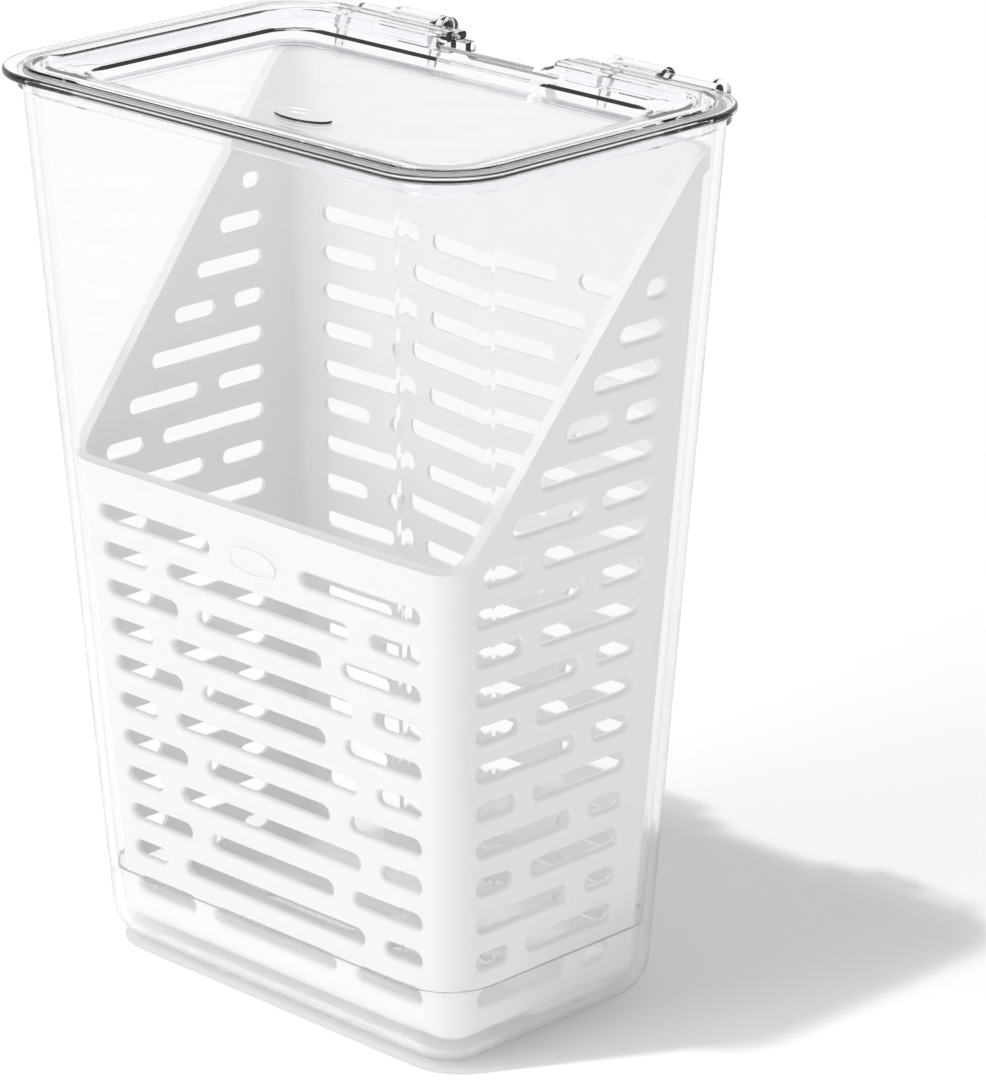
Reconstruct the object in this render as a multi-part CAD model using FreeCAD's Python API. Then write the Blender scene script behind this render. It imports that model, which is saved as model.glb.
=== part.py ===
import FreeCAD, Part
import math
import os

from FreeCAD import Placement, Rotation, Vector

# Herb keeper: a clear tapered container, a white slotted basket that stands in it, and a clear
# lid hinged on the rear rim. Millimetres. The origin is the middle of the container's foot,
# Z is up, the low front of the basket faces -Y and the hinge is on the +Y side.

# Overall sizes of the container
foot_width = 130.4
foot_depth = 78.6
rim_height = 227.2
wall_slope = 0.054
corner_radius = 16.0

# Walls of the container
wall = 2.2
floor_thickness = 2.6
foot_edge_radius = 12.0
band_height = 22.0
band_step = 0.8
bead_reach = 1.2
bead_height = 2.6

# Finger notch in the container's rear wall
notch_half_width = 17.0
notch_depth = 5.0
notch_corner = 3.0

# Hinge: two rods in ears behind the rear wall
hinge_inner_share = 0.361
hinge_side_inset = 13.5
ear_thickness = 2.5
ear_radius = 2.9
rod_radius = 1.6
rod_clearance = 0.06
barrel_wall_gap = 0.35
axis_above_rim = 1.0
gusset_drop = 12.0
clip_share = 0.487
clip_mouth = 2.7
web_overlap = 1.4
side_clearance = 0.4

# Lid flange and ridge
lid_gap = 0.3
flange_overhang = 4.5
rear_overhang = 1.0
flange_thickness = 2.0
flange_corner_radius = 20.0
flange_edge_radius = 0.8
corner_tightening = 0.6
ridge_height = 0.6
ridge_inset = 4.3
ridge_width = 4.9
ridge_taper = 0.3

# Dish of the lid: run inward from the ridge and drop below its top at each edge
step_run = 0.5
step_drop = 0.9
shelf_run = 4.8
shelf_drop = 1.7
slope_run = 8.9
slope_drop = 3.0
panel_run = 10.9
panel_drop = 5.5
panel_thickness = 2.0
dish_wall = 1.5

# Locating lip and cut-out of the lid
lip_depth = 4.0
lip_thickness = 1.8
lip_clearance = 0.4
cutout_half_width = 20.0
cutout_reach = 11.8
cutout_corner = 4.0

# Basket
side_gap = 2.8
end_gap = 4.0
basket_wall = 2.0
basket_corner_radius = 7.5
basket_floor_underside = 6.2
basket_floor_thickness = 2.0
basket_edge_radius = 6.0
foot_radius = 4.0
foot_inset = 13.0
rest_gap = 0.3

# Basket rim
front_rim_height = 130.5
tab_below_rim = 4.8
shoulder_below_tab = 4.4
tab_half_width = 17.5
slope_front_setback = 3.2
slope_rear_setback = 8.4
slope_blend = 8.0
rim_lip_reach = 1.2
rim_lip_height = 3.4
rim_lip_back = 2.6

# Slots in the basket walls
slot_height = 4.2
slot_rounding = 1.1
slot_pitch = 10.0
lowest_slot = 17.5
front_top_margin = 8.0
rear_top_margin = 35.0
front_margin = 10.4
short_centre_share = 0.365
long_centre_share = 0.535
slot_gap = 7.3
badge_clear = 16.0
side_front_margin = 8.5
side_rear_margin = 15.0
side_slot_gap = 6.3
forward_split_share = -0.39
rearward_split_share = 0.203
split_slot_length = 14.0
slope_margin = 10.8

# Slots in the basket floor
floor_slot_start = 6.0
floor_slot_side_margin = 20.6
floor_slot_end_margin = 11.0

# Bare ovals
basket_oval_width = 17.0
basket_oval_height = 7.4
lid_oval_width = 18.6
lid_oval_height = 8.0
lid_oval_y = -22.0
oval_height = 0.6
oval_rim = 1.0

# How far pieces of one solid run into each other, and cutters run past a surface
merge = 0.5
past = 1.0

# Places worked out from the sizes
rim_half_width = foot_width / 2 + wall_slope * rim_height
rim_half_depth = foot_depth / 2 + wall_slope * rim_height
hinge_inner = hinge_inner_share * rim_half_width
hinge_outer = rim_half_width - hinge_side_inset
axis_y = rim_half_depth + barrel_wall_gap + ear_radius
axis_z = rim_height + axis_above_rim
flange_bottom = rim_height + lid_gap
flange_top = flange_bottom + flange_thickness
ridge_top = flange_top + ridge_height
panel_top = ridge_top - panel_drop
tab_height = rim_height - tab_below_rim
shoulder_height = tab_height - shoulder_below_tab
wall_tilt = math.degrees(math.atan(wall_slope))


def rounded_rectangle(half_width, front, rear, radius, z):
    """Closed wire of four straight sides and four quarter arcs at height z."""
    corners = []
    x = half_width - radius
    y_rear = rear - radius
    y_front = front + radius
    for turn, cx, cy in ((0, x, y_rear), (1, -x, y_rear), (2, -x, y_front), (3, x, y_front)):
        points = []
        for step in (0, 1, 2):
            angle = math.radians(90 * turn + 45 * step)
            points.append(Vector(cx + radius * math.cos(angle), cy + radius * math.sin(angle), z))
        corners.append(points)
    wire = []
    for points, following in zip(corners, corners[1:] + corners[:1]):
        wire.append(Part.Arc(*points).toShape())
        wire.append(Part.LineSegment(points[2], following[0]).toShape())
    return Part.Wire(wire)


def block_between(lower, upper):
    """Solid between two rounded rectangles given as half width, front, rear, radius, height."""
    return Part.makeLoft([rounded_rectangle(*lower), rounded_rectangle(*upper)], True, True)


def sloping_block(lower, upper, radius):
    """Solid with four sloping flat walls between two (half width, half depth, z), corners rounded."""
    width_low, depth_low, z_low = lower
    width_high, depth_high, z_high = upper
    block = Part.makeWedge(
        -width_low, z_low, -depth_low, -depth_high, -width_high,
        width_low, z_high, depth_low, depth_high, width_high)
    block.rotate(Vector(0, 0, 0), Vector(1, 0, 0), 90)
    upright = [edge for edge in block.Edges if edge.BoundBox.ZLength > 0.01]
    return block.makeFillet(radius, upright)


def wall_block(low, high, inset):
    """Tapered block that lies inset inside the container's outer wall between two heights."""
    sections = []
    for z in (low, high):
        half_width = foot_width / 2 + wall_slope * z - inset
        half_depth = foot_depth / 2 + wall_slope * z - inset
        sections.append((half_width, half_depth, z))
    return sloping_block(*sections, corner_radius - inset)


def edges_at_height(shape, z):
    """Edges of a shape that lie wholly in the plane at height z."""
    found = []
    for edge in shape.Edges:
        if abs(edge.BoundBox.ZMin - z) < 0.01 and abs(edge.BoundBox.ZMax - z) < 0.01:
            found.append(edge)
    return found


def box(x_low, x_high, y_low, y_high, z_low, z_high):
    """Box between two corners."""
    size = Vector(x_high - x_low, y_high - y_low, z_high - z_low)
    return Part.makeBox(size.x, size.y, size.z, Vector(x_low, y_low, z_low))


def rod_along_x(radius, x_low, x_high):
    """Cylinder along the hinge axis between two places in x."""
    return Part.makeCylinder(radius, x_high - x_low, Vector(x_low, axis_y, axis_z), Vector(1, 0, 0))


def mirrored(shape):
    """The shape mirrored to the other side of the middle plane x = 0."""
    return shape.mirror(Vector(0, 0, 0), Vector(1, 0, 0))


# Container


def container_outer():
    """Outer wall with its rounded foot and the bead round its rim."""
    outer = wall_block(0, rim_height, 0)
    outer = outer.makeFillet(foot_edge_radius, edges_at_height(outer, 0))
    bead = wall_block(rim_height - bead_height, rim_height, -bead_reach)
    return outer.fuse(bead)


def container_hollow():
    """The space inside, narrower below the step of the frosted band."""
    lower_wall = wall + band_step
    lower = wall_block(floor_thickness, band_height, lower_wall)
    lower = lower.makeFillet(foot_edge_radius - lower_wall, edges_at_height(lower, floor_thickness))
    upper = wall_block(band_height, rim_height + past, wall)
    return [lower, upper]


def rear_notch():
    """Cutter for the finger notch: a slot with rounded lower corners, open at the rim."""
    low = rim_height - notch_depth
    y = rim_half_depth - 3 * wall
    inner = notch_half_width - notch_corner
    bend = notch_corner * math.sqrt(0.5)
    top = rim_height + past
    edges = []
    for side in (1, -1):
        foot = Vector(side * inner, y, low)
        middle = Vector(side * (inner + bend), y, low + notch_corner - bend)
        wall_foot = Vector(side * notch_half_width, y, low + notch_corner)
        edges.append(Part.Arc(foot, middle, wall_foot).toShape())
        edges.append(Part.LineSegment(wall_foot, Vector(side * notch_half_width, y, top)).toShape())
    edges.append(Part.LineSegment(Vector(-inner, y, low), Vector(inner, y, low)).toShape())
    left_top = Vector(-notch_half_width, y, top)
    edges.append(Part.LineSegment(left_top, Vector(notch_half_width, y, top)).toShape())
    outline = Part.Wire(Part.__sortEdges__(edges))
    return Part.Face(outline).extrude(Vector(0, 6 * wall, 0))


def bead_relief():
    """Cutter that takes the rim bead away between the ears of one hinge."""
    y_low = rim_half_depth
    y_high = axis_y + 2 * ear_radius
    z_low = rim_height - 2 * bead_height
    return box(hinge_inner, hinge_outer, y_low, y_high, z_low, rim_height + past)


def ear(x_low):
    """One ear: a round plate about the axis with a gusset down to the rear wall."""
    plate = rod_along_x(ear_radius, x_low, x_low + ear_thickness)
    wall_middle = rim_half_depth - wall / 2
    foot_y = wall_middle - wall_slope * gusset_drop
    corners = [
        Vector(x_low, wall_middle, rim_height),
        Vector(x_low, axis_y, rim_height),
        Vector(x_low, axis_y + ear_radius, axis_z),
        Vector(x_low, foot_y, axis_z - gusset_drop),
    ]
    outline = Part.makePolygon(corners + corners[:1])
    gusset = Part.Face(outline).extrude(Vector(ear_thickness, 0, 0))
    return plate.fuse(gusset)


def hinge_bracket():
    """Two ears and the rod between them, on the +X side."""
    rod = rod_along_x(rod_radius, hinge_inner, hinge_outer)
    return rod.fuse([ear(hinge_inner), ear(hinge_outer - ear_thickness)])


def container():
    """The clear container with its notch and both hinge brackets."""
    relief = bead_relief()
    shell = container_outer().cut([rear_notch(), relief, mirrored(relief)])
    shell = shell.cut(container_hollow())
    bracket = hinge_bracket()
    return shell.fuse([bracket, mirrored(bracket)])


# Lid


def lid_section(inset, z):
    """Rounded rectangle that lies inset inside the lid's flange edge at height z."""
    half_width = rim_half_width + flange_overhang - inset
    front = inset - rim_half_depth - flange_overhang
    rear = rim_half_depth + rear_overhang - inset
    radius = flange_corner_radius - corner_tightening * inset
    return (half_width, front, rear, radius, z)


def dish_block(outward, down):
    """Solid that fills the dish: a steep step, a shelf, a slope and a second step to the panel."""
    start = ridge_inset + ridge_width
    levels = [
        (start - merge, past),
        (start, 0.0),
        (start + step_run, -step_drop),
        (start + shelf_run, -shelf_drop),
        (start + slope_run, -slope_drop),
        (start + panel_run, -panel_drop),
    ]
    block = None
    for (inset_above, above), (inset_below, below) in zip(levels, levels[1:]):
        upper = lid_section(inset_above - outward, ridge_top + above - down)
        lower = lid_section(inset_below - outward, ridge_top + below - down)
        ring = block_between(lower, upper)
        block = ring if block is None else block.fuse(ring)
    return block


def lid_flange():
    """Flat flange with rounded edges and the ridge that stands on it."""
    flange = block_between(lid_section(0, flange_bottom), lid_section(0, flange_top))
    rounded = edges_at_height(flange, flange_bottom) + edges_at_height(flange, flange_top)
    flange = flange.makeFillet(flange_edge_radius, rounded)
    lower = lid_section(ridge_inset, flange_top - merge)
    ridge = block_between(lower, lid_section(ridge_inset + ridge_taper, ridge_top))
    return flange.fuse(ridge)


def locating_lip():
    """Ring under the lid that stands just inside the container's rim."""
    low = rim_height - lip_depth
    high = flange_bottom + merge
    outer = wall_block(low, high, wall + lip_clearance)
    inner = wall_block(low - past, high + past, wall + lip_clearance + lip_thickness)
    return outer.cut(inner)


def finger_cutout():
    """Cutter through the lid's rear edge, with rounded inner corners."""
    y_low = rim_half_depth - cutout_reach
    y_high = axis_y + 2 * ear_radius
    z_low = rim_height - lip_depth - past
    cutter = box(-cutout_half_width, cutout_half_width, y_low, y_high, z_low, ridge_top + past)
    corners = []
    for edge in cutter.Edges:
        bounds = edge.BoundBox
        if bounds.ZLength > past and bounds.YMax < y_low + merge:
            corners.append(edge)
    return cutter.makeFillet(cutout_corner, corners)


def hinge_clearance():
    """Cutter that takes the flange away round one hinge bracket."""
    y_low = axis_y - ear_radius - side_clearance
    y_high = axis_y + 2 * ear_radius
    x_low = hinge_inner - side_clearance
    x_high = hinge_outer + side_clearance
    return box(x_low, x_high, y_low, y_high, rim_height - lip_depth, ridge_top + past)


def clip():
    """Open barrel round the rod, carried by a web from the lid's ridge, on the +X side."""
    x_low = hinge_inner + ear_thickness + side_clearance
    x_high = x_low + clip_share * (hinge_outer - hinge_inner - 2 * ear_thickness)
    barrel = rod_along_x(ear_radius, x_low, x_high)
    web = box(x_low, x_high, axis_y - ear_radius - web_overlap, axis_y, flange_bottom, ridge_top)
    bore = rod_along_x(rod_radius + rod_clearance, x_low - past, x_high + past)
    half = clip_mouth / 2
    mouth = box(x_low - past, x_high + past, axis_y - half, axis_y + half, axis_z - 2 * ear_radius, axis_z)
    return barrel.fuse(web).cut([bore, mouth])


def lid_oval():
    """Bare oval boss on the panel."""
    pad = oval_prism(lid_oval_width, lid_oval_height, panel_top - merge, panel_top + oval_height)
    return pad.translated(Vector(0, lid_oval_y, 0))


def lid():
    """The clear lid with its clips, cut-out and oval."""
    relief = hinge_clearance()
    plate = lid_flange().fuse(dish_block(dish_wall, panel_thickness))
    plate = plate.cut(dish_block(0, 0))
    plate = plate.fuse(locating_lip()).cut([finger_cutout(), relief, mirrored(relief)])
    hook = clip()
    return plate.fuse([hook, mirrored(hook), lid_oval()])


# Basket


def basket_half_width(z):
    """Half width of the basket's outer wall at height z."""
    return foot_width / 2 + wall_slope * z - wall - side_gap


def basket_half_depth(z):
    """Half depth of the basket's outer wall at height z."""
    return foot_depth / 2 + wall_slope * z - wall - end_gap


def basket_block(low, high, inset):
    """Tapered block that lies inset inside the basket's outer wall between two heights."""
    sections = []
    for z in (low, high):
        sections.append((basket_half_width(z) - inset, basket_half_depth(z) - inset, z))
    return sloping_block(*sections, basket_corner_radius - inset)


def slope_at(height):
    """Place in y of the sloping side rim at a height."""
    front = slope_front_setback - basket_half_depth(front_rim_height)
    rear = basket_half_depth(shoulder_height) - slope_rear_setback
    share = (height - front_rim_height) / (shoulder_height - front_rim_height)
    return front + share * (rear - front)


def rim_profile_region(shift_y, shift_z):
    """Everything above the side view of the rim: low front, slope, high rear, as one prism."""
    foot = Vector(0, slope_at(front_rim_height), front_rim_height)
    head = Vector(0, slope_at(shoulder_height), shoulder_height)
    along = (head - foot).normalize()
    angle = math.atan2(along.z, along.y)
    tangent = slope_blend * math.tan(angle / 2)
    foot_in = foot - Vector(0, tangent, 0)
    foot_out = foot + along * tangent
    head_in = head - along * tangent
    head_out = head + Vector(0, tangent, 0)
    half_turn = Vector(0, slope_blend * math.sin(angle / 2), slope_blend * (1 - math.cos(angle / 2)))
    foot_middle = foot_in + half_turn
    head_middle = head_out - half_turn
    far = foot_depth
    top = rim_height + far
    front_low = Vector(0, -far, front_rim_height)
    rear_low = Vector(0, far, shoulder_height)
    edges = [
        Part.LineSegment(front_low, foot_in).toShape(),
        Part.Arc(foot_in, foot_middle, foot_out).toShape(),
        Part.LineSegment(foot_out, head_in).toShape(),
        Part.Arc(head_in, head_middle, head_out).toShape(),
        Part.LineSegment(head_out, rear_low).toShape(),
        Part.LineSegment(rear_low, Vector(0, far, top)).toShape(),
        Part.LineSegment(Vector(0, far, top), Vector(0, -far, top)).toShape(),
        Part.LineSegment(Vector(0, -far, top), front_low).toShape(),
    ]
    region = Part.Face(Part.Wire(edges)).extrude(Vector(2 * foot_width, 0, 0))
    region.translate(Vector(-foot_width, shift_y, shift_z))
    return region


def tab_block():
    """Raised middle of the rear wall, with a hollow quarter arc down to each shoulder."""
    radius = shoulder_below_tab
    y = basket_half_depth(shoulder_height) - 3 * basket_wall
    base = shoulder_height - past
    foot_x = tab_half_width + radius
    reach = radius * math.sqrt(0.5)
    edges = []
    for side in (1, -1):
        top = Vector(side * tab_half_width, y, tab_height)
        foot = Vector(side * foot_x, y, shoulder_height)
        middle = Vector(side * (foot_x - reach), y, tab_height - reach)
        edges.append(Part.Arc(top, middle, foot).toShape())
        edges.append(Part.LineSegment(foot, Vector(side * foot_x, y, base)).toShape())
    left = Vector(-foot_x, y, base)
    edges.append(Part.LineSegment(Vector(foot_x, y, base), left).toShape())
    top_left = Vector(-tab_half_width, y, tab_height)
    edges.append(Part.LineSegment(top_left, Vector(tab_half_width, y, tab_height)).toShape())
    outline = Part.Wire(Part.__sortEdges__(edges))
    return Part.Face(outline).extrude(Vector(0, foot_depth, 0))


def slot_cutter(length):
    """Cutter for one slot, lying along x, whose outer edges are rounded; the wall faces +Z."""
    half = slot_height / 2
    inner = -3 * basket_wall
    outer = 2 * slot_rounding
    wide = half + slot_rounding
    bend = slot_rounding * (1 - math.sqrt(0.5))
    arc = Part.Arc(Vector(0, half, -slot_rounding), Vector(0, half + bend, -bend), Vector(0, wide, 0))
    rise = [
        Part.LineSegment(Vector(0, 0, inner), Vector(0, half, inner)).toShape(),
        Part.LineSegment(Vector(0, half, inner), Vector(0, half, -slot_rounding)).toShape(),
        arc.toShape(),
        Part.LineSegment(Vector(0, wide, 0), Vector(0, wide, outer)).toShape(),
        Part.LineSegment(Vector(0, wide, outer), Vector(0, 0, outer)).toShape(),
        Part.LineSegment(Vector(0, 0, outer), Vector(0, 0, inner)).toShape(),
    ]
    half_face = Part.Face(Part.Wire(rise))
    run = length - slot_height
    end = half_face.revolve(Vector(0, 0, 0), Vector(0, 0, 1), 360)
    other_half = half_face.mirror(Vector(0, 0, 0), Vector(0, 1, 0))
    first = end.translated(Vector(-run / 2, 0, 0))
    second = end.translated(Vector(run / 2, 0, 0))
    straight = half_face.fuse(other_half).extrude(Vector(run, 0, 0))
    straight.translate(Vector(-run / 2, 0, 0))
    return straight.fuse([first, second])


def slot_between(start, end, height):
    """Slot cutter from start to end along x at a height along the wall."""
    cutter = slot_cutter(end - start)
    cutter.translate(Vector((start + end) / 2, height / math.cos(math.radians(wall_tilt)), 0))
    return cutter


def row_heights(limit):
    """Heights of the slot rows from the lowest one up to a limit."""
    count = int((limit - lowest_slot) / slot_pitch) + 1
    return [lowest_slot + row * slot_pitch for row in range(count)]


def centred_row(row, height):
    """A middle slot, short and long in turn, with another slot out to the margin on each side."""
    share = long_centre_share if row % 2 else short_centre_share
    half_centre = share * basket_half_width(0)
    end = basket_half_width(height) - front_margin
    start = half_centre + slot_gap
    slots = [slot_between(-half_centre, half_centre, height)]
    slots.append(slot_between(start, end, height))
    slots.append(slot_between(-end, -start, height))
    return slots


def badge_row(height):
    """Two slots that leave room for the oval between them."""
    end = basket_half_width(height) - front_margin
    return [slot_between(badge_clear, end, height), slot_between(-end, -badge_clear, height)]


def front_slots():
    """All slots of the low front wall, in the plane of that wall."""
    heights = row_heights(front_rim_height - front_top_margin)
    slots = badge_row(heights[-1])
    for row, height in enumerate(heights[:-1]):
        slots += centred_row(row, height)
    return slots


def rear_slots():
    """All slots of the tall rear wall, in the plane of that wall."""
    slots = []
    for row, height in enumerate(row_heights(shoulder_height - rear_top_margin)):
        slots += centred_row(row, height)
    return slots


def side_row(row, height):
    """Start and end in y of each slot in one row of a side wall, none where the slope leaves no room."""
    start = max(side_front_margin - basket_half_depth(height), slope_at(height) + slope_margin)
    end = basket_half_depth(height) - side_rear_margin
    half_gap = side_slot_gap / 2
    if row % 2:
        split = forward_split_share * basket_half_depth(0)
    else:
        split = max(rearward_split_share * basket_half_depth(0), start + split_slot_length + half_gap)
    parts = [(start, split - half_gap), (split + half_gap, end)]
    if min(last - first for first, last in parts) > slot_height:
        return parts
    return [(start, end)] if end - start > slot_height else []


def side_slots(direction):
    """All slots of one side wall, in the plane of that wall; direction turns y into the wall's x."""
    slots = []
    for row, height in enumerate(row_heights(shoulder_height)):
        for start, end in side_row(row, height):
            low, high = sorted((direction * start, direction * end))
            slots.append(slot_between(low, high, height))
    return slots


def floor_slots():
    """Drain slots in the basket floor, in two columns, rounded on the upper side."""
    top = basket_floor_underside + basket_floor_thickness
    end = basket_half_width(top) - floor_slot_side_margin
    rows_each_way = int((basket_half_depth(top) - floor_slot_end_margin) / slot_pitch)
    slots = []
    for row in range(-rows_each_way, rows_each_way + 1):
        for side in (-1, 1):
            cutter = slot_cutter(end - floor_slot_start)
            cutter.translate(Vector(side * (end + floor_slot_start) / 2, row * slot_pitch, top))
            slots.append(cutter)
    return Part.makeCompound(slots)


def on_wall(shapes, turn, half_size):
    """Stand shapes made on the flat up on a sloping wall: turn 0 is the front, 90 the +X side."""
    group = Part.makeCompound(shapes)
    stand = Rotation(Vector(1, 0, 0), 90 + wall_tilt)
    face = Rotation(Vector(0, 0, 1), turn)
    offset = face.multVec(Vector(0, -half_size, 0))
    group.Placement = Placement(offset, face.multiply(stand))
    return group


def basket_outer():
    """Outer wall of the basket with its rounded foot, still solid and uncut."""
    low = basket_floor_underside
    outer = basket_block(low, tab_height + past, 0)
    return outer.makeFillet(basket_edge_radius, edges_at_height(outer, low))


def basket_hollow():
    """The space inside the basket."""
    floor = basket_floor_underside + basket_floor_thickness
    inner = basket_block(floor, tab_height + 2 * past, basket_wall)
    return inner.makeFillet(basket_edge_radius - basket_wall, edges_at_height(inner, floor))


def rim_lip():
    """Wider block that stands out from the wall only near the rim."""
    wide = basket_block(2 * basket_edge_radius, tab_height + past, -rim_lip_reach)
    return wide.common(rim_profile_region(rim_lip_back, -rim_lip_height))


def basket_feet():
    """Four round feet that hold the basket floor clear of the container's floor."""
    feet = []
    low = floor_thickness + rest_gap
    height = basket_floor_underside - low + merge
    x = basket_half_width(low) - foot_inset
    y = basket_half_depth(low) - foot_inset
    for side in (-1, 1):
        for end in (-1, 1):
            feet.append(Part.makeCylinder(foot_radius, height, Vector(side * x, end * y, low)))
    return feet


def oval_prism(width, height, low, high):
    """Upright prism over an ellipse between two heights."""
    outline = Part.Ellipse(Vector(0, 0, low), width / 2, height / 2).toShape()
    return Part.Face(Part.Wire(outline)).extrude(Vector(0, 0, high - low))


def basket_oval():
    """Bare raised oval on the front wall: a flat pad inside a thin rim."""
    height = row_heights(front_rim_height - front_top_margin)[-1]
    pad = oval_prism(basket_oval_width, basket_oval_height, -merge, oval_height)
    inner_width = basket_oval_width - 2 * oval_rim
    inner_height = basket_oval_height - 2 * oval_rim
    oval = pad.cut(oval_prism(inner_width, inner_height, oval_height / 2, oval_height + past))
    oval.translate(Vector(0, height / math.cos(math.radians(wall_tilt)), 0))
    return on_wall([oval], 0, basket_half_depth(0))


def basket():
    """The white basket with its rim, slots, feet and oval."""
    body = basket_outer().fuse([rim_lip()] + basket_feet())
    body = body.cut(basket_hollow())
    body = body.cut(rim_profile_region(0, 0).cut(tab_block()))
    body = body.fuse(basket_oval())
    cutters = [
        on_wall(front_slots(), 0, basket_half_depth(0)),
        on_wall(rear_slots(), 180, basket_half_depth(0)),
        on_wall(side_slots(1), 90, basket_half_width(0)),
        on_wall(side_slots(-1), -90, basket_half_width(0)),
        floor_slots(),
    ]
    for cutter in cutters:
        body = body.cut(cutter)
    return body


def main():
    """Write each piece to its own file."""
    os.makedirs("parts", exist_ok=True)
    for name, shape in (("container", container()), ("lid", lid()), ("basket", basket())):
        solids = shape.Solids
        print(name, "solids", len(solids), "valid", shape.isValid(), "volume", round(shape.Volume))
        solid = solids[0] if len(solids) == 1 else shape
        solid.exportStep("parts/" + name + ".step")


main()
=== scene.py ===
import math

import bpy
from mathutils import Matrix, Vector

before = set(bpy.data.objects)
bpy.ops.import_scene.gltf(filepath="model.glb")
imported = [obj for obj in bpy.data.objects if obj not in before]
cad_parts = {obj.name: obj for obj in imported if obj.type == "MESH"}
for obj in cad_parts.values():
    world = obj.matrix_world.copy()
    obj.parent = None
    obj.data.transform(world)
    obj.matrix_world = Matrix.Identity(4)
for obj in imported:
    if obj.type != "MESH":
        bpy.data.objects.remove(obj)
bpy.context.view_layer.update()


# Container
# The tapered clear outer box, moulded in one from crystal plastic about 2 mm thick. It stands
# on the floor, its lowest 22 mm are frosted, and its thick rim carries the two hinge rods.


class Wire:
    """One socket in a material's node tree; sums and products of wires add Math nodes."""

    def __init__(self, tree, socket=None):
        self.tree = tree
        self.socket = socket

    def node(self, kind, settings=None, sockets=None, output=0):
        """Adds a node, sets it up, feeds its sockets and returns one of its outputs."""
        made = self.tree.nodes.new(kind)
        for name, value in (settings or {}).items():
            setattr(made, name, value)
        for name, value in (sockets or {}).items():
            if isinstance(value, Wire):
                self.tree.links.new(value.socket, made.inputs[name])
            else:
                made.inputs[name].default_value = value
        return Wire(self.tree, made.outputs[output]) if len(made.outputs) else None

    def maths(self, operation, first, second=0.0, clamp=False):
        settings = {"operation": operation, "use_clamp": clamp}
        return self.node("ShaderNodeMath", settings, {0: first, 1: second})

    def __add__(self, other):
        return self.maths("ADD", self, other)

    def __radd__(self, other):
        return self.maths("ADD", other, self)

    def __sub__(self, other):
        return self.maths("SUBTRACT", self, other)

    def __rsub__(self, other):
        return self.maths("SUBTRACT", other, self)

    def __mul__(self, other):
        return self.maths("MULTIPLY", self, other)

    def __rmul__(self, other):
        return self.maths("MULTIPLY", other, self)


def new_material(name):
    """An empty material and a wire to add its nodes with."""
    made = bpy.data.materials.new(name)
    made.use_nodes = True
    made.node_tree.nodes.clear()
    return made, Wire(made.node_tree)


def finish_material(made, surface):
    """Joins a shader to the material's output."""
    surface.node("ShaderNodeOutputMaterial", None, {"Surface": surface})
    return made


def clear_plastic(name, face_tint, edge_tint_and_shade, frost_top):
    """Clear moulded plastic, frosted below frost_top, turning to the edge colour where seen
    edge on: a painted dark shade on the container, a lilac tint on the lid.
    """
    made, wire = new_material(name)
    place = wire.node("ShaderNodeTexCoord", None, None, "Object")
    height = wire.node("ShaderNodeSeparateXYZ", None, {0: place}, "Z")
    frost_sharpness = 1500.0
    middle = 0.5
    frost = wire.maths("MULTIPLY", (frost_top - height) * frost_sharpness + middle, 1.0, True)
    ripples_per_metre = 25.0
    ripple = wire.node(
        "ShaderNodeTexNoise", None,
        {"Vector": place, "Scale": ripples_per_metre, "Detail": 2.0})
    ripple_depth = 0.002
    ripple_strength = 0.06
    wavy = wire.node(
        "ShaderNodeBump", None,
        {"Height": ripple, "Strength": ripple_strength, "Distance": ripple_depth})
    facing = wire.node("ShaderNodeLayerWeight", None, {"Blend": 0.5}, "Facing")
    squared = facing * facing
    # Seen edge on, the colour turns to the edge colour; on the container this is painted shade
    # standing in for dark refraction lines.
    edge = squared * squared * squared
    colour = wire.node(
        "ShaderNodeMix", {"data_type": "RGBA"}, {0: edge, 6: face_tint, 7: edge_tint_and_shade}, 2)
    polish = 0.01
    frost_roughness = 0.13
    plastic_index = 1.49
    glass = wire.node("ShaderNodeBsdfPrincipled", None, {
        "Base Color": colour, "Roughness": frost * frost_roughness + polish,
        "IOR": plastic_index, "Transmission Weight": 1.0, "Normal": wavy})
    milk_white = (0.97, 0.972, 0.975, 1.0)
    milk_share = 0.12
    milk = wire.node(
        "ShaderNodeBsdfPrincipled", None, {"Base Color": milk_white, "Roughness": 0.4})
    body = wire.node("ShaderNodeMixShader", None, {0: frost * milk_share, 1: glass, 2: milk})
    passed_light = (0.995, 0.995, 0.997, 1.0)
    light_gap = wire.node("ShaderNodeBsdfTransparent", None, {"Color": passed_light})
    face_shade = (0.70, 0.70, 0.72, 1.0)
    edge_shade = (0.20, 0.20, 0.24, 1.0)
    shade = wire.node(
        "ShaderNodeMix", {"data_type": "RGBA"}, {0: squared, 6: face_shade, 7: edge_shade}, 2)
    cast = wire.node("ShaderNodeBsdfTransparent", None, {"Color": shade})
    bounced = wire.node("ShaderNodeLightPath", None, None, "Is Diffuse Ray")
    shadow = wire.node("ShaderNodeLightPath", None, None, "Is Shadow Ray")
    lit_through = wire.node("ShaderNodeMixShader", None, {0: bounced, 1: body, 2: light_gap})
    both = wire.node("ShaderNodeMixShader", None, {0: shadow, 1: lit_through, 2: cast})
    return finish_material(made, both)


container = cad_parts["container"]
body_face = (0.985, 0.985, 0.99, 1.0)
# Painted shade: seen edge on, the container's walls turn near black, standing in for the dark
# lines that refraction draws along their edges.
body_edge_painted_shade = (0.16, 0.16, 0.19, 1.0)
frost_band_top = 0.022
container.data.materials[0] = clear_plastic(
    "clear_body", body_face, body_edge_painted_shade, frost_band_top)


# Basket
# The loose white strainer, moulded in one from satin polypropylene, with slots in all four
# walls and its floor. It stands on four short feet inside the container and lifts out.

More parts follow.
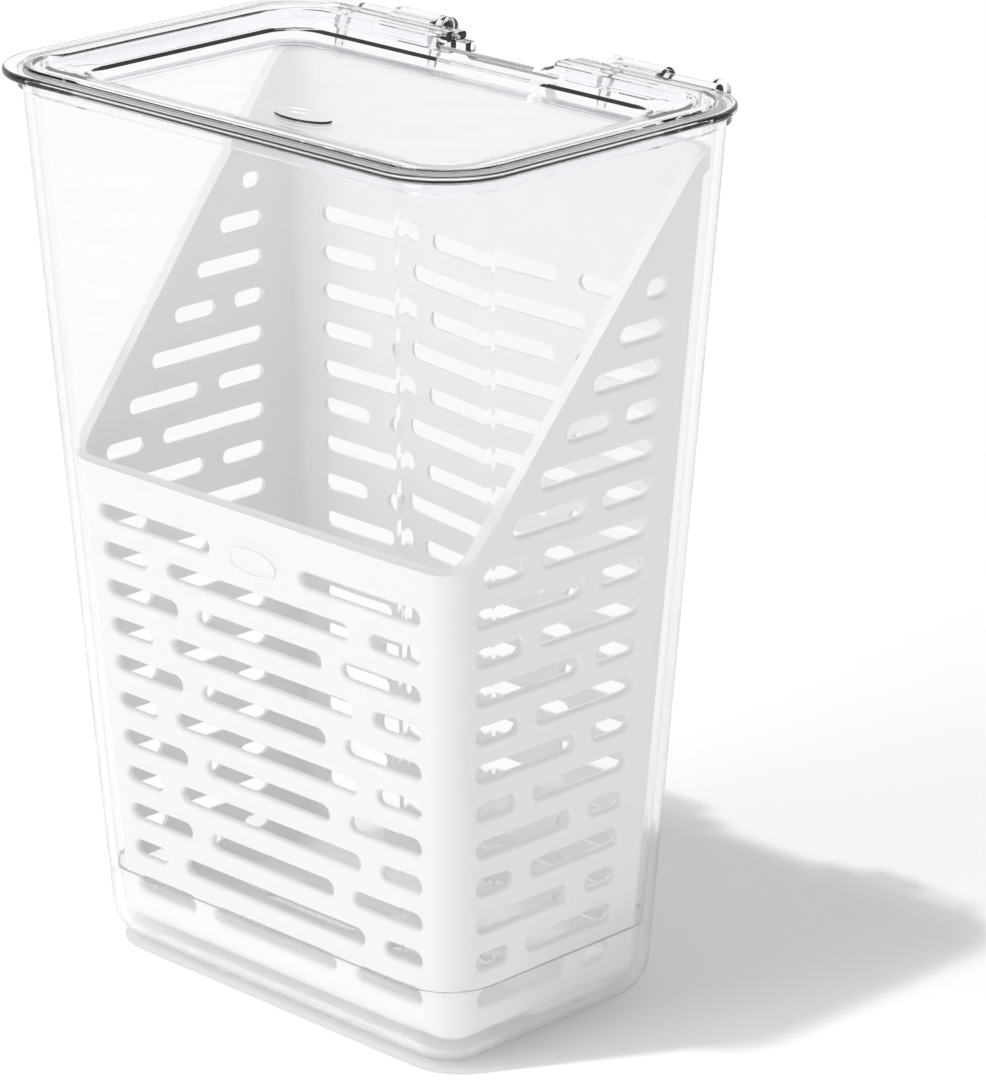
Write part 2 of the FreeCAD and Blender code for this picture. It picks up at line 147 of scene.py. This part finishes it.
made, wire = new_material("white_basket")
place = wire.node("ShaderNodeTexCoord", None, None, "Object")
grains_per_metre = 1500.0
grain_depth = 0.0003
grain = wire.node(
    "ShaderNodeTexNoise", None, {"Vector": place, "Scale": grains_per_metre, "Detail": 3.0})
skin = wire.node(
    "ShaderNodeBump", None, {"Height": grain, "Strength": 0.1, "Distance": grain_depth})
patches_per_metre = 40.0
patch = wire.node(
    "ShaderNodeTexNoise", None, {"Vector": place, "Scale": patches_per_metre, "Detail": 3.0})
basket_white = (0.88, 0.89, 0.885, 1.0)
satin = 0.33
satin_spread = 0.1
plastic = wire.node("ShaderNodeBsdfPrincipled", None, {
    "Base Color": basket_white, "Roughness": patch * satin_spread + satin, "Normal": skin})
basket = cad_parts["basket"]
basket.data.materials[0] = finish_material(made, plastic)


# Lid
# A clear moulded plate with a sunken panel and two pairs of barrels that clip over the
# container's rods. It has the container's plastic, with a lilac cast in its thick edge.

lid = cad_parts["lid"]
lid_face = (0.982, 0.978, 1.0, 1.0)
lid_edge = (0.90, 0.88, 0.97, 1.0)
below_floor = -1.0
lid.data.materials[0] = clear_plastic("clear_lid", lid_face, lid_edge, below_floor)


# Floor
# A plain white sweep under and behind the keeper. Close to the keeper it takes the shadow;
# further out it is seen as plain white, also through the clear walls.

floor_half = 8.0
floor_corners = [
    (-floor_half, -floor_half, 0), (floor_half, -floor_half, 0),
    (floor_half, floor_half, 0), (-floor_half, floor_half, 0)]
floor_mesh = bpy.data.meshes.new("floor")
floor_mesh.from_pydata(floor_corners, [], [(0, 1, 2, 3)])
floor = bpy.data.objects.new("floor", floor_mesh)
bpy.context.scene.collection.objects.link(floor)

made, wire = new_material("floor_paint")
place = wire.node("ShaderNodeTexCoord", None, None, "Object")
from_keeper = wire.node("ShaderNodeVectorMath", {"operation": "LENGTH"}, {0: place}, "Value")
shadow_reach = 0.26
fade_per_metre = 5.0
far = wire.maths("MULTIPLY", from_keeper - shadow_reach, fade_per_metre, True)
looked_at = wire.node("ShaderNodeLightPath", None, None, "Is Camera Ray")
through = wire.node("ShaderNodeLightPath", None, None, "Is Transmission Ray")
seen = wire.maths("ADD", looked_at, through, True)
floor_white = (0.93, 0.93, 0.93, 1.0)
plain = wire.node("ShaderNodeBsdfDiffuse", None, {"Color": floor_white})
pure_white = (1, 1, 1, 1)
white = wire.node("ShaderNodeEmission", None, {"Color": pure_white, "Strength": 1.0})
paint = wire.node("ShaderNodeMixShader", None, {0: far * seen, 1: plain, 2: white})
floor_mesh.materials.append(finish_material(made, paint))


# Lamps
# One distant hard lamp high at the camera's left casts the crisp shadow, and one broad soft
# lamp lights the keeper's front.


def lamp(name, direction, distance, size, power):
    """A round lamp that looks at the keeper's middle from the given direction."""
    light = bpy.data.lights.new(name, "AREA")
    light.shape = "DISK"
    light.size = size
    light.energy = power
    made = bpy.data.objects.new(name, light)
    bpy.context.scene.collection.objects.link(made)
    direction = Vector(direction).normalized()
    keeper_middle = Vector((0, 0, 0.1))
    made.location = keeper_middle + direction * distance
    made.rotation_mode = "QUATERNION"
    made.rotation_quaternion = direction.to_track_quat("Z", "Y")


lamp("key", direction=(-0.083, -0.306, 0.948), distance=6.0, size=0.17, power=150.0)
lamp("front", direction=(-0.25, -0.9, 0.35), distance=2.5, size=1.6, power=27.0)


# Backdrop
# White all round, with two dark screens beside the keeper that only its clear edges show.

world = bpy.data.worlds.new("studio")
bpy.context.scene.world = world
world.use_nodes = True
world.node_tree.nodes.clear()
wire = Wire(world.node_tree)
direction = wire.node("ShaderNodeTexCoord", None, None, "Generated")
beside_camera = (0.704, 0.710, 0.0)
sideways = wire.node(
    "ShaderNodeVectorMath", {"operation": "DOT_PRODUCT"},
    {0: direction, 1: beside_camera}, "Value")
aside = wire.maths("ABSOLUTE", sideways)
screen_edge = 0.78
screen_sharpness = 12.0
screen = wire.maths("MULTIPLY", aside - screen_edge, screen_sharpness, True)
seen = wire.node("ShaderNodeLightPath", None, None, "Is Camera Ray")
glossy = wire.node("ShaderNodeLightPath", None, None, "Is Glossy Ray")
through = wire.node("ShaderNodeLightPath", None, None, "Is Transmission Ray")
room_light = 0.60
screen_light = 0.3
screen_cover = 0.9
lit = wire.node("ShaderNodeBackground", None, {"Color": pure_white, "Strength": room_light})
white = wire.node("ShaderNodeBackground", None, {"Color": pure_white, "Strength": 1.0})
dark = wire.node("ShaderNodeBackground", None, {"Color": pure_white, "Strength": screen_light})
mirrored = wire.maths("ADD", glossy, through, True)
around = wire.node(
    "ShaderNodeMixShader", None, {0: screen * screen_cover, 1: white, 2: dark})
reflected = wire.node("ShaderNodeMixShader", None, {0: mirrored, 1: lit, 2: around})
both = wire.node("ShaderNodeMixShader", None, {0: seen, 1: reflected, 2: white})
wire.node("ShaderNodeOutputWorld", None, {"Surface": both})


# Camera
# A long lens looking down on the keeper's front right corner. The frame is 986 wide and
# 1080 high, and the lens is given on its long side.

focal_pixels = 4985.0
frame_height = 1080.0
sensor_width = 36.0
camera_turn = math.radians(44.792)
camera_tilt = math.radians(19.210)
camera_roll = math.radians(-0.063)
camera_place = (0.8373, -0.8018, 0.5172)
lens = bpy.data.cameras.new("lens")
lens.sensor_width = sensor_width
lens.lens = sensor_width * focal_pixels / frame_height
lens.clip_start = 0.05
lens.clip_end = 50.0
camera = bpy.data.objects.new("camera", lens)
bpy.context.scene.collection.objects.link(camera)
backward = Vector((
    math.sin(camera_turn) * math.cos(camera_tilt),
    -math.cos(camera_turn) * math.cos(camera_tilt),
    math.sin(camera_tilt)))
camera.rotation_mode = "QUATERNION"
level = (-backward).to_track_quat("-Z", "Y")
camera.rotation_quaternion = level @ Matrix.Rotation(camera_roll, 3, "Z").to_quaternion()
camera.location = camera_place
bpy.context.scene.camera = camera
bpy.context.scene.view_settings.view_transform = "Standard"
